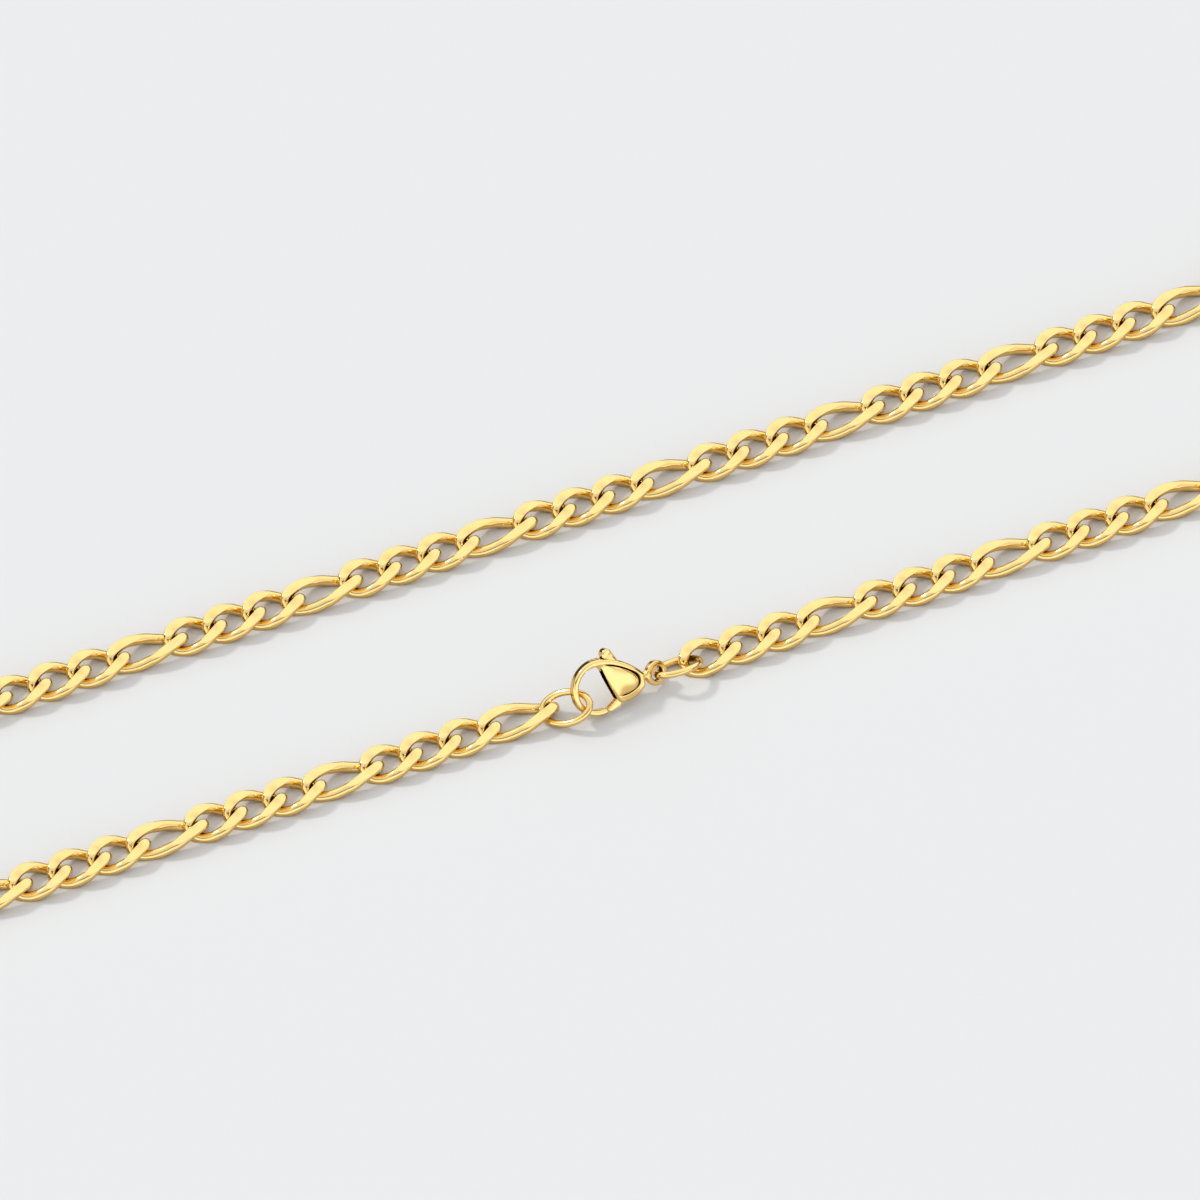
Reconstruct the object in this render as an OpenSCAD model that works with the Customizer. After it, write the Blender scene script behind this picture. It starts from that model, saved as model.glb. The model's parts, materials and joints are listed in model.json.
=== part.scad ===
// Figaro chain necklace with a lobster clasp, lying flat as a closed loop. Millimetres, +Z up.
// The origin is under the middle of the loop, on the surface that the chain lies on.

/* [Chain] */
// Number of figaro repeats, each of three short links and a long one
repeats = 23; // [19:1:24]
// Outer width of a short link
short_w = 5.0; // [4.9:0.05:5.3]
// Outer length of a short link
short_l = 7.74; // [7.6:0.02:7.9]
// Outer width of a long link
long_w = 4.64; // [4.5:0.02:4.8]
// Outer length of a long link
long_l = 9.96; // [9.4:0.02:11]
// Diameter of the wire of the links
wire_d = 1.14; // [1:0.01:1.18]
// Thickness of a link across its two ground faces
chain_t = 1.9; // [1.8:0.01:2]
// Share of the wire's half thickness that grinding leaves over the middle of a rail
rail_ground = 0.96; // [0.9:0.01:1]
// How far the ends of neighbouring links overlap along the chain
link_nest = 2.96; // [2.8:0.02:3.1]
// Turn of each end of a link about the chain, in degrees
end_twist = 48; // [46:0.5:52]

/* [Loop] */
// Distance between the two straight strands, centre to centre
strand_gap = 26.3; // [24:0.1:34]
// Radius of the turn at each end of the loop
turn_r = 18; // [18:0.5:24]
// Radius of the outward curve that leads into each turn
flare_r = 24; // [22:1:50]
// How far the clasp lies to the left of the middle of the front strand
clasp_shift = 2.5; // [0:0.1:10]

/* [Clasp] */
// Radius of the hook, to the middle of its wire
hook_r = 2.9; // [2.7:0.05:3.1]
// Width of the hook's wire, seen from the front
hook_w = 0.65; // [0.6:0.01:0.72]
// Thickness of the hook's wire, front to back
hook_t = 1; // [0.9:0.02:1.1]
// Length from the middle of the hook to the middle of the eye
clasp_l = 7.46; // [7.3:0.01:7.7]
// Thickness of the body at the top of its dome
body_t = 2.8; // [2.6:0.05:2.9]
// Radius of the body's dome
dome_r = 8; // [7.5:0.1:10]
// Width of the slot between the body's two walls
slot_w = 1; // [0.9:0.02:1.1]
// Clearance on each side of the lever's plate in the slot
lever_gap = 0.08; // [0.05:0.01:0.12]
// Thickness of the lever's thumb tab
tab_t = 1.3; // [1:0.1:1.6]
// Clearance between the closed gate and the tip of the hook
gate_gap = 0.1; // [0.05:0.01:0.2]
// Diameter of the pivot pin
pin_d = 0.6; // [0.5:0.02:0.7]
// Length of the pivot pin
pin_l = 2.2; // [1.8:0.1:2.3]
// Radial clearance of the lever on its pin
pin_gap = 0.05; // [0.02:0.01:0.08]
// Outer diameter of the eye
eye_d = 2.86; // [2.8:0.02:3]
// Diameter of the hole through the eye
eye_hole = 1.62; // [1.6:0.02:1.8]
// Thickness of the eye
eye_t = 0.76; // [0.7:0.02:0.84]

/* [Rings] */
// Diameter of the wire of the two rings
ring_wire = 0.8; // [0.7:0.02:0.84]
// Outer length of the oval ring on the hook
hook_ring_l = 6.49; // [6.4:0.01:6.7]
// Outer width of the oval ring on the hook
hook_ring_w = 4.41; // [4.35:0.01:4.6]
// Outer length of the oval ring in the eye
eye_ring_l = 6.2; // [6.1:0.02:6.5]
// Outer width of the oval ring in the eye
eye_ring_w = 4.98; // [4.9:0.02:5.3]

/* [Hidden] */

gold = [0.86, 0.68, 0.29];

// The wire's centreline in plan is a superellipse: half sizes and powers
wire_r = wire_d / 2;
short_a = short_l / 2 - wire_r;
short_b = short_w / 2 - wire_r;
long_a = long_l / 2 - wire_r;
long_b = long_w / 2 - wire_r;
end_power = 0.97;
short_side_power = 0.97;
long_side_power = 0.63;
// The twist builds up around this share of the way from a short link's middle to its end
twist_mid = 0.64;
twist_sharpness = 3.1;
// The ground face is level from this share of that way outwards
level_from = 0.6;
link_stations = 14;
wire_sides = 6;

function swell(v, p) = sign(v) * pow(abs(v), p);

// How far a place x along a link of half length a has come towards its end, 0 to 1, over the
// same stretch as on a short link
function end_share(x, a) = max(0, (abs(x) - a) / short_a + 1);

function twist_share(t) =
    pow(t, twist_sharpness) * (1 + pow(twist_mid, twist_sharpness))
    / (pow(t, twist_sharpness) + pow(twist_mid, twist_sharpness));

function link_turn(x, a) = -sign(x) * end_twist * twist_share(end_share(x, a));

function link_centre(a, b, side_power, u) =
    let (x = a * swell(cos(u), end_power), y = b * swell(sin(u), side_power), t = link_turn(x, a))
    [x, y * cos(t), y * sin(t)];

// Half the height that grinding leaves at x
function ground_half(x, a) =
    let (t = min(1, end_share(x, a) / level_from), rise = t * t * (3 - 2 * t))
    wire_r * rail_ground + (chain_t / 2 - wire_r * rail_ground) * rise;

function unit(v) = v / norm(v);

function wire_point(a, b, side_power, u, v, r) =
    let (
        c = link_centre(a, b, side_power, u),
        along = unit(link_centre(a, b, side_power, u + 1) - link_centre(a, b, side_power, u - 1)),
        t = link_turn(c[0], a),
        out = unit(cross(along, [0, -sin(t), cos(t)])),
        up = cross(out, along),
        p = c + r * (cos(v) * out + sin(v) * up),
        limit = ground_half(p[0], a) + r - wire_r
    )
    [p[0], p[1], max(-limit, min(limit, p[2]))];

function link_points(a, b, side_power, r = wire_r) = [
    for (i = [0 : link_stations - 1], k = [0 : wire_sides - 1])
        wire_point(a, b, side_power, i * 360 / link_stations, k * 360 / wire_sides, r)
];

// Triangles of one closed wire of so many stations, whose points start at number first
function wire_faces(first, stations) = [
    for (i = [0 : stations - 1], k = [0 : wire_sides - 1], half = [0, 1])
        let (
            i2 = (i + 1) % stations,
            k2 = (k + 1) % wire_sides,
            p00 = first + i * wire_sides + k,
            p01 = first + i * wire_sides + k2,
            p10 = first + i2 * wire_sides + k,
            p11 = first + i2 * wire_sides + k2
        )
        half == 0 ? [p00, p11, p10] : [p00, p01, p11]
];

// The clasp's own frame: the origin in the middle of the hook, X towards the eye, Z through the
// thickness. It lies rolled onto its front edge, with its eye a little lower than its hook
clasp_turn = [59, 10.5, 3.7];
clasp_y = -1.12;
clasp_z = 3.22;
eye_turn = 12;

// The turns of the two rings, and the places of their middles across the strand and above the
// surface
hook_ring_turn = [16.1, -32.9, 0];
hook_ring_spin = -30.9;
hook_ring_y = -1.33;
hook_ring_z = 1.8;
eye_ring_turn = [-32, 1.75, 0];
eye_ring_spin = 13.3;
eye_ring_y = -0.63;
eye_ring_z = 1.57;

// How far each end of a ring reaches past the middle of the wire that it holds
hook_ring_in_hook = 1.85;
hook_ring_in_link = 1.97;
eye_ring_in_eye = 1.12;
eye_ring_in_link = 1.69;

// Places along the front strand, worked out from the clasp to the last and the first link
hook_ring_a = (hook_ring_l - ring_wire) / 2;
eye_ring_a = (eye_ring_l - ring_wire) / 2;
eye_mid_r = (eye_d + eye_hole) / 4;
eye_from_hook = clasp_l * cos(clasp_turn[1]) * cos(clasp_turn[2]);
eye_ring_from_hook = eye_from_hook + eye_mid_r - eye_ring_in_eye + eye_ring_a;
first_from_hook = eye_ring_from_hook + eye_ring_a - eye_ring_in_link + short_a;
hook_ring_from_hook = hook_ring_in_hook - hook_r - hook_ring_a;
last_from_hook = hook_ring_from_hook - hook_ring_a + hook_ring_in_link - long_a;
clasp_x = -clasp_shift - (first_from_hook + last_from_hook) / 2;
first_link_x = clasp_x + first_from_hook;
last_link_x = clasp_x + last_from_hook;

// The route: half of the front strand, the right-hand turn, the back strand, the left-hand turn
// and the rest of the front strand, as pairs of length and curvature. The flare's angle comes
// from the two radii and the strand gap
flare_angle = acos((strand_gap / 2 + flare_r) / (turn_r + flare_r));
flare_len = flare_r * flare_angle * PI / 180;
turn_len = turn_r * (180 + 2 * flare_angle) * PI / 180;
pitch_short = short_l - link_nest;
pitch_long = (short_l + long_l) / 2 - link_nest;
repeat_len = 2 * pitch_short + 2 * pitch_long;
chain_len = repeats * repeat_len - pitch_long;
loop_len = chain_len + first_link_x - last_link_x;
straight_len = (loop_len - 4 * flare_len - 2 * turn_len) / 4;
turn_route = [[flare_len, -1 / flare_r], [turn_len, 1 / turn_r], [flare_len, -1 / flare_r]];
route = concat(
    [[straight_len, 0]], turn_route, [[2 * straight_len, 0]], turn_route, [[straight_len, 0]]
);

// Place and heading after a length s on a stretch of curvature k, from a pose [x, y, heading]
function ahead(pose, s, k) =
    let (turn = s * k * 180 / PI, h = pose[2])
    k == 0
        ? [pose[0] + s * cos(h), pose[1] + s * sin(h), h]
        : [pose[0] + (sin(h + turn) - sin(h)) / k, pose[1] + (cos(h) - cos(h + turn)) / k, h + turn];

function route_pose(s, i = 0, pose = [0, -strand_gap / 2, 0]) =
    s <= route[i][0] || i == len(route) - 1
        ? ahead(pose, s, route[i][1])
        : route_pose(s - route[i][0], i + 1, ahead(pose, route[i][0], route[i][1]));

function is_long(n) = n % 4 == 3;
function link_s(n) =
    first_link_x + floor(n / 4) * repeat_len + (n % 4) * pitch_short
    + (is_long(n) ? pitch_long - pitch_short : 0);

function placed(p, pose) = [
    pose[0] + p[0] * cos(pose[2]) - p[1] * sin(pose[2]),
    pose[1] + p[0] * sin(pose[2]) + p[1] * cos(pose[2]),
    p[2] + chain_t / 2
];

short_points = link_points(short_a, short_b, short_side_power);
long_points = link_points(long_a, long_b, long_side_power);

module links(first, last) {
    points = [
        for (n = [first : last])
            let (pose = route_pose(link_s(n)))
            for (p = is_long(n) ? long_points : short_points)
                placed(p, pose)
    ];
    faces = [for (n = [0 : last - first]) each wire_faces(n * link_stations * wire_sides, link_stations)];
    polyhedron(points, faces);
}

link_count = 4 * repeats;
half_count = 2 * repeats;

module chain_eye_side() {
    color(gold) links(0, half_count - 1);
}

module chain_hook_side() {
    color(gold) links(half_count, link_count - 1);
}

module on_strand(x, y, z) {
    translate([x, y - strand_gap / 2, z]) children();
}

ring_stations = 16;

function ring_point(a, b, u, v) =
    [a * cos(u), b * sin(u), 0]
    + ring_wire / 2 * (cos(v) * unit([b * cos(u), a * sin(u), 0]) + [0, 0, sin(v)]);

module oval_ring(length, width) {
    a = (length - ring_wire) / 2;
    b = (width - ring_wire) / 2;
    points = [
        for (i = [0 : ring_stations - 1], k = [0 : wire_sides - 1])
            ring_point(a, b, i * 360 / ring_stations, k * 360 / wire_sides)
    ];
    polyhedron(points, wire_faces(0, ring_stations));
}

module eye_ring() {
    color(gold)
        on_strand(clasp_x + eye_ring_from_hook, eye_ring_y, eye_ring_z)
            rotate(eye_ring_turn) rotate(eye_ring_spin) oval_ring(eye_ring_l, eye_ring_w);
}

module hook_ring() {
    color(gold)
        on_strand(clasp_x + hook_ring_from_hook, hook_ring_y, hook_ring_z)
            rotate(hook_ring_turn) rotate(hook_ring_spin) oval_ring(hook_ring_l, hook_ring_w);
}

// A point of the clasp by its distance outside the middle of the hook's wire and its direction
// from the middle of the hook
function hook_point(extra, angle) = (hook_r + extra) * [cos(angle), sin(angle)];

function arc(centre, r, from, to, steps = 10) = [
    for (i = [0 : steps])
        let (angle = from + (to - from) * i / steps)
        centre + r * [cos(angle), sin(angle)]
];

root = 80;
slot_bottom = hook_point(-0.05, -40.7);
corner = hook_point(0.58, -41.8);
pivot = hook_point(0.45, -17.4);
tip_angle = -74;
tip = hook_point(0, tip_angle);
tip_slant = 42;
back_r = 9.1;
belly_r = 4.1;
dome_at = [2.9, 0.4];

module outline() {
    back_c = hook_point(hook_w / 2 - back_r, root + 2);
    belly_c = corner + belly_r * [cos(96), sin(96)];
    polygon(concat(
        arc([0, 0], hook_r - hook_w / 2, root + 12, root, 3),
        [slot_bottom],
        arc(belly_c, belly_r, -84, -38),
        arc(back_c, back_r, 43.6, root + 2)
    ));
}

// The room between the walls in which the lever's plate swings, open at the slot, along the back
// for the tab and at the corner for the gate
module slot_room() {
    polygon([
        hook_point(-0.74, 76.6), hook_point(-0.55, 69), hook_point(0.8, 76.9), hook_point(2.26, 35.5),
        hook_point(1.42, 16), hook_point(1.15, 0), hook_point(1.32, -16.5), hook_point(1.07, -26.6),
        hook_point(0.58, -32), hook_point(0.99, -41.9), hook_point(0.37, -66.6),
        hook_point(-0.88, -33)
    ]);
}

// Everything within reach on the eye's side of the slanted face between the gate and the tip
module past_tip(gap, reach) {
    translate(tip) rotate(tip_slant)
        translate([gap, -reach, -reach]) cube(2 * reach);
}

module clasp_place() {
    on_strand(clasp_x, clasp_y, clasp_z) rotate(clasp_turn) children();
}

module plate(t) {
    linear_extrude(t, center = true) children();
}

module dome(side) {
    translate([dome_at[0], dome_at[1], side * (body_t / 2 - dome_r)]) sphere(dome_r, $fn = 96);
}

module hook() {
    difference() {
        rotate(root)
            rotate_extrude(angle = 364 + tip_angle - root, $fn = 96)
                translate([hook_r, 0]) intersection() {
                    circle(hook_t / 2 + 0.03, $fn = 48);
                    square([hook_w, hook_t], center = true);
                }
        past_tip(0, hook_r);
    }
}

module eye() {
    rotate([0, eye_turn, 0])
        rotate_extrude($fn = 64)
            translate([eye_mid_r, 0]) intersection() {
                circle(eye_t / 2, $fn = 48);
                square([(eye_d - eye_hole) / 2, eye_t], center = true);
            }
}

module pin() {
    translate(pivot) cylinder(d = pin_d, h = pin_l, center = true, $fn = 32);
}

module clasp_body() {
    neck_from = clasp_l - 1.9;
    neck_to = clasp_l - eye_mid_r;
    color(gold)
        clasp_place() {
            difference() {
                union() {
                    intersection() {
                        plate(body_t) outline();
                        dome(1);
                        dome(-1);
                    }
                    translate([neck_from, 0, 0]) rotate([0, 90, 0])
                        cylinder(d = eye_t, h = neck_to - neck_from, $fn = 32);
                }
                plate(slot_w) slot_room();
                pin();
            }
            hook();
            translate([clasp_l, 0, 0]) eye();
        }
}

// The lever: a plate that runs from the tab through the slot to the pivot and on into the gate
module clasp_lever() {
    tab = hook_point(1.11, 68);
    tab_r = 0.58;
    hub_r = 0.7;
    color(gold)
        clasp_place() {
            difference() {
                intersection() {
                    plate(slot_w - 2 * lever_gap) {
                        polygon([
                            hook_point(1.02, 75.5), hook_point(0.17, 71), hook_point(-0.61, 60.8),
                            hook_point(-1.18, 17), hook_point(-0.52, -22.2), hook_point(0, -33.3),
                            hook_point(-0.17, -50.7), hook_point(-0.09, -69.2),
                            hook_point(-0.11, -75.5), hook_point(0.28, -77.3),
                            hook_point(0.47, -64.7), hook_point(0.75, -46.8),
                            hook_point(0.74, -41.7), hook_point(0.44, -31.6), hook_point(0.82, -11),
                            hook_point(0.45, 13.8), hook_point(0.54, 35.5), hook_point(0.85, 47.2),
                            hook_point(1.35, 61)
                        ]);
                        translate(pivot) circle(hub_r, $fn = 48);
                    }
                    past_tip(gate_gap, 3 * hook_r);
                }
                translate(pivot) cylinder(d = pin_d + 2 * pin_gap, h = body_t, center = true, $fn = 32);
            }
            translate([tab[0], tab[1], 0]) cylinder(r = tab_r, h = tab_t, center = true, $fn = 48);
        }
}

module clasp_pin() {
    color(gold) clasp_place() pin();
}

chain_eye_side();
chain_hook_side();
eye_ring();
hook_ring();
clasp_body();
clasp_lever();
clasp_pin();
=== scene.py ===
# %% [markdown]
# # A figaro chain with a lobster clasp
# A figaro chain repeats three short links and one long one. This lesson dresses a measured
# model of such a necklace: the measured model gives the places, and every piece that shows is
# modelled again here with many more faces, because polished metal shows each flaw of its shape
# in its reflections.

# %% Load the measured model
import json

import bpy
import numpy as np
from mathutils import Euler, Matrix, Vector

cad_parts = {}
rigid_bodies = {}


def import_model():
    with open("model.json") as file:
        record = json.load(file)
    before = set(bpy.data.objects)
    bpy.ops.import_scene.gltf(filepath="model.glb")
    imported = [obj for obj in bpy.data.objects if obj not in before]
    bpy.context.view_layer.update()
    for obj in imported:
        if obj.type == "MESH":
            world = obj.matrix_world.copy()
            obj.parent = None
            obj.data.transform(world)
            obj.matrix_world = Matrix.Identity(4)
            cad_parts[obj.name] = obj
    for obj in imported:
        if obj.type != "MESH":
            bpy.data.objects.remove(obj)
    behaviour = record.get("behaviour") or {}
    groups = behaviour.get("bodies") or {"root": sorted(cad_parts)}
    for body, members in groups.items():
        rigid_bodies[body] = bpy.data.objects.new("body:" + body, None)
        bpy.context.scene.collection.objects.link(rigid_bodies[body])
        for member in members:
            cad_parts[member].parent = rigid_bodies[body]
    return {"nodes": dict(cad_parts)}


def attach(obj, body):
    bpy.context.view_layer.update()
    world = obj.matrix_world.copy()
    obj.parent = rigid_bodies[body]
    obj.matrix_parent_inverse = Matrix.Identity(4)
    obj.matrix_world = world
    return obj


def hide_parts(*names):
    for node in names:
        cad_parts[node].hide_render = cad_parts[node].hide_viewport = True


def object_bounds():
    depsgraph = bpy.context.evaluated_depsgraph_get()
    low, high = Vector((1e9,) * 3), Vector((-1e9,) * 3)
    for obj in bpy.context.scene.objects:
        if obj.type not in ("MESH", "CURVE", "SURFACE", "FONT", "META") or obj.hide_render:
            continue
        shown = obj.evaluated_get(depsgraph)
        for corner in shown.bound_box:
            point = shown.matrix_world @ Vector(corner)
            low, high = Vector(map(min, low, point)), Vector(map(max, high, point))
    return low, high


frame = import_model()
cad_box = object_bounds()
MM = 0.001
print("nodes:", sorted(frame["nodes"]))

# %% [markdown]
# ## The camera
# The photograph looks down on the chain from about 48 degrees, with almost no perspective. A
# real camera gets that look from far away through a very long lens, so this one does too. An
# orthographic camera would do the same, but a long lens also serves the views from other sides.

# %% Camera
VIEW_TURN = np.radians(-24.0)
VIEW_RISE = np.radians(48.5)
VIEW_WIDTH = 134.1
LENS = 1500.0
SENSOR = 36.0
LOOK_RIGHT, LOOK_UP = 1.49, 0.58

right = Vector((np.cos(VIEW_TURN), np.sin(VIEW_TURN), 0))
toward = Vector((
    np.sin(VIEW_TURN) * np.cos(VIEW_RISE),
    -np.cos(VIEW_TURN) * np.cos(VIEW_RISE),
    np.sin(VIEW_RISE),
))
up = toward.cross(right)
look_at = (LOOK_RIGHT * right + LOOK_UP * up) * MM


def add_camera():
    data = bpy.data.cameras.new("camera")
    data.lens = LENS
    data.sensor_width = SENSOR
    distance = VIEW_WIDTH * MM * LENS / SENSOR
    camera = bpy.data.objects.new("camera", data)
    bpy.context.scene.collection.objects.link(camera)
    turn = Matrix((right, up, toward)).transposed().to_4x4()
    camera.matrix_world = Matrix.Translation(look_at + distance * toward) @ turn
    bpy.context.scene.camera = camera
    return distance


print("camera distance, m:", round(add_camera(), 3))

# %% [markdown]
# ## Sizes of the links
# All sizes are in millimetres, as a maker writes them, and become metres when a mesh is made.
# A curb or figaro link starts as an oval of round wire. Its two ends are then twisted against
# each other, so that the links lie flat in a row, and the finished chain is ground flat above
# and below. Boxes or bevelled curves could stand in for such links, but the twist and the ground
# faces are what the eye reads as a figaro chain, so each has its own formula here.

# %% Link sizes
WIRE_R = 0.62
SHORT = {"half_length": 3.25, "half_width": 1.88, "side_power": 0.97}
LONG = {"half_length": 4.36, "half_width": 1.68, "side_power": 0.75}
END_POWER = 0.97
CHAIN_T = 1.9
# Over a link's middle the grinding leaves this share of the wire's half thickness, and from
# this share of the way to an end the ground face is level
RAIL_GROUND, LEVEL_FROM = 0.97, 0.6
END_TWIST = np.radians(48)
# The twist builds up round this share of the way, and a higher sharpness makes it more sudden
TWIST_MID, TWIST_SHARPNESS = 0.9, 1.45


def ease(t):
    """A smooth step from 0 to 1."""
    t = np.clip(t, 0, 1)
    return t * t * (3 - 2 * t)


def swell(v, power):
    """A power of v that keeps its sign, for an oval with flatter or rounder sides."""
    return np.sign(v) * np.abs(v) ** power


def end_share(x, half_length):
    """How far x has come towards the end of a link, 0 to 1."""
    return np.abs(x) / half_length


def twist_at(x, half_length):
    """The turn of the wire about the link's length at x."""
    t = end_share(x, half_length) ** TWIST_SHARPNESS
    mid = TWIST_MID ** TWIST_SHARPNESS
    return -np.sign(x) * END_TWIST * t * (1 + mid) / (t + mid)


def ground_half(x, half_length):
    """Half the height that grinding leaves at x."""
    low = WIRE_R * RAIL_GROUND
    return low + (CHAIN_T / 2 - low) * ease(end_share(x, half_length) / LEVEL_FROM)


def wire_middle(u, link):
    """The middle of the wire at the angle u round the link."""
    x = link["half_length"] * swell(np.cos(u), END_POWER)
    y = link["half_width"] * swell(np.sin(u), link["side_power"])
    t = twist_at(x, link["half_length"])
    return np.stack([x, y * np.cos(t), y * np.sin(t)], -1)


for kind, link in (("short", SHORT), ("long", LONG)):
    print(kind, "link, length in mm:", 2 * (link["half_length"] + WIRE_R))

# %% [markdown]
# ## One link as a mesh
# The wire is swept round its oval as a grid of rings. Grinding cuts the grid at a level, and a
# cut that runs across the grid's lines would look like a saw. So each ring spreads its points
# anew: one point sits on each border of the two ground faces, and the rest share out the arcs
# between them. The borders then run along the grid's own lines and stay crisp. On the inner
# side of a link's ends two wires lie close, so the points there get a painted shade: a share
# of darkness kept at each point, which the metal's colour reads further on.

# %% Link mesh
# Stations round the oval, parts of each side's arc, and angles tried to find a flat's borders
STATIONS, SIDE_PARTS, FINE = 66, 7, 1440
# A flat is at least this wide, and its edge is rounded over this length
LEAST_FLAT, EDGE_ROUND = np.radians(8), 0.06
# On a narrow flat, the rows beside its border are its half width apart divided by this
NARROW_FLAT = 2.5
# Painted shade starts where the cosine of a point's angle falls below the first number, and
# where its share of the way to the link's end passes the second; the third is how fast it grows
INNER_BELOW, SHADE_FROM, SHADE_RUN = -0.2, 0.5, 0.3


def unit_rows(v):
    return v / np.linalg.norm(v, axis=-1, keepdims=True)


def section_axes(u, link):
    """Unit vectors out of the oval and up, for each station of the wire."""
    step = 0.001
    along = unit_rows(wire_middle(u + step, link) - wire_middle(u - step, link))
    middle = wire_middle(u, link)
    t = twist_at(middle[:, 0], link["half_length"])
    normal = np.stack([0 * t, -np.sin(t), np.cos(t)], -1)
    out = unit_rows(np.cross(along, normal))
    return middle, out, np.cross(out, along)


def wire_surface(middle, out, rise, angle):
    """Points of the round wire at each station, for one row of angles per station."""
    c, s = np.cos(angle)[..., None], np.sin(angle)[..., None]
    return middle[:, None] + WIRE_R * (c * out[:, None] + s * rise[:, None])


def flat_borders(points, angle, limit, side):
    """Where each ring of the wire passes the ground level, as middle angle and half width."""
    height = side * points[..., 2]
    above = height > limit
    above = np.where(above.any(1, keepdims=True), above, height == height.max(1, keepdims=True))
    middle = np.arctan2((above * np.sin(angle)).sum(1), (above * np.cos(angle)).sum(1))
    return middle, np.maximum(above.sum(1) * (angle[1] - angle[0]) / 2, LEAST_FLAT)


def edge_rows(half):
    """Angles from a flat's middle to the rows on and beside its border."""
    soft = np.minimum(EDGE_ROUND / (WIRE_R * np.sin(half)), half / NARROW_FLAT)
    return [half - 2 * soft, half - soft, half, half + soft]


def side_rows(start, end):
    """Angles of the rows between the borders of the two flats."""
    return [start + (end - start) * k / SIDE_PARTS for k in range(1, SIDE_PARTS)]


def ground(points, limit):
    """Cuts the heights at the ground level and rounds the edge of the cut a little."""
    height = np.abs(points[..., 2])
    near = np.maximum(0, 1 - np.abs(height - limit) / EDGE_ROUND)
    level = np.minimum(height, limit) - EDGE_ROUND / 4 * near**2
    points[..., 2] = np.sign(points[..., 2]) * level


def link_points(link):
    """Points of a ground link, station by station, and the painted shade at each point."""
    u = np.arange(STATIONS) * 2 * np.pi / STATIONS
    middle, out, rise = section_axes(u, link)
    fine = np.arange(FINE) * 2 * np.pi / FINE
    rough = wire_surface(middle, out, rise, np.tile(fine, (STATIONS, 1)))
    limit = ground_half(rough[..., 0], link["half_length"])
    top, top_half = flat_borders(rough, fine, limit, 1)
    low, low_half = flat_borders(rough, fine, limit, -1)
    top = np.unwrap(top)
    low = top + (low - top) % (2 * np.pi)
    top_rows, low_rows = edge_rows(top_half), edge_rows(low_half)
    angles = np.stack([
        *[top - row for row in top_rows[::-1]], *[top + row for row in top_rows],
        *side_rows(top + top_rows[-1], low - low_rows[-1]),
        *[low - row for row in low_rows[::-1]], *[low + row for row in low_rows],
        *side_rows(low + low_rows[-1], top + 2 * np.pi - top_rows[-1]),
    ], 1)
    points = wire_surface(middle, out, rise, angles)
    ground(points, ground_half(points[..., 0], link["half_length"]))
    # Painted shade on the inner side of each end, where two wires lie close
    share = end_share(middle[:, :1], link["half_length"])
    return points, ease(INNER_BELOW - np.cos(angles)) * ease((share - SHADE_FROM) / SHADE_RUN)


def tube_faces(stations, sides):
    """Quads of a closed tube, whose points run side by side within each station."""
    i, k = np.meshgrid(np.arange(stations), np.arange(sides), indexing="ij")
    a, b = (i + 1) % stations, (k + 1) % sides
    return np.stack([i * sides + k, a * sides + k, a * sides + b, i * sides + b], -1).reshape(-1, 4)


def new_mesh(name, points, faces, painted_shade):
    """A smooth mesh in metres from points in millimetres; the last argument gives each point's
    painted shade from 0 to 1, 1 darkest."""
    mesh = bpy.data.meshes.new(name)
    mesh.from_pydata((np.asarray(points).reshape(-1, 3) * MM).tolist(), [], faces.tolist())
    mesh.shade_smooth()
    # Each point's painted shade is kept as an attribute for the metal's colour
    shade = mesh.attributes.new("painted_shade", "FLOAT", "POINT")
    shade.data.foreach_set("value", np.ascontiguousarray(painted_shade, dtype=np.float32).ravel())
    return mesh


def new_piece(name, mesh):
    piece = bpy.data.objects.new(name, mesh)
    bpy.context.scene.collection.objects.link(piece)
    return piece


link_pieces = {}
for name, link in (("short_link", SHORT), ("long_link", LONG)):
    points, painted_shade = link_points(link)
    mesh = new_mesh(name, points, tube_faces(*points.shape[:2]), painted_shade)
    link_pieces[name] = new_piece(name, mesh)
    size = np.ptp(points.reshape(-1, 3), axis=0)
    print(name, "faces:", len(mesh.polygons), "box, mm:", size.round(2))

# %% [markdown]
# ## The way that the chain takes
# The loop lies flat: two straight strands, and at each end a turn that first flares outwards,
# as a chain does that is laid down by hand. It is made of arcs, so its length is exact, and
# the links can be placed by their distance along it.

# %% Route
STRAND_GAP = 26.3
TURN_R = 18.0
FLARE_R = 24.0
REPEATS = 23
LINK_NEST = 2.96
FIRST_LINK = 9.255
LAST_LINK = -14.255

pitch_short = 2 * (SHORT["half_length"] + WIRE_R) - LINK_NEST
pitch_long = SHORT["half_length"] + LONG["half_length"] + 2 * WIRE_R - LINK_NEST
repeat_len = 2 * pitch_short + 2 * pitch_long
loop_len = REPEATS * repeat_len - pitch_long + FIRST_LINK - LAST_LINK
flare_angle = np.arccos((STRAND_GAP / 2 + FLARE_R) / (TURN_R + FLARE_R))
flare_len = FLARE_R * flare_angle
turn_len = TURN_R * (np.pi + 2 * flare_angle)
straight_len = (loop_len - 4 * flare_len - 2 * turn_len) / 4


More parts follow.
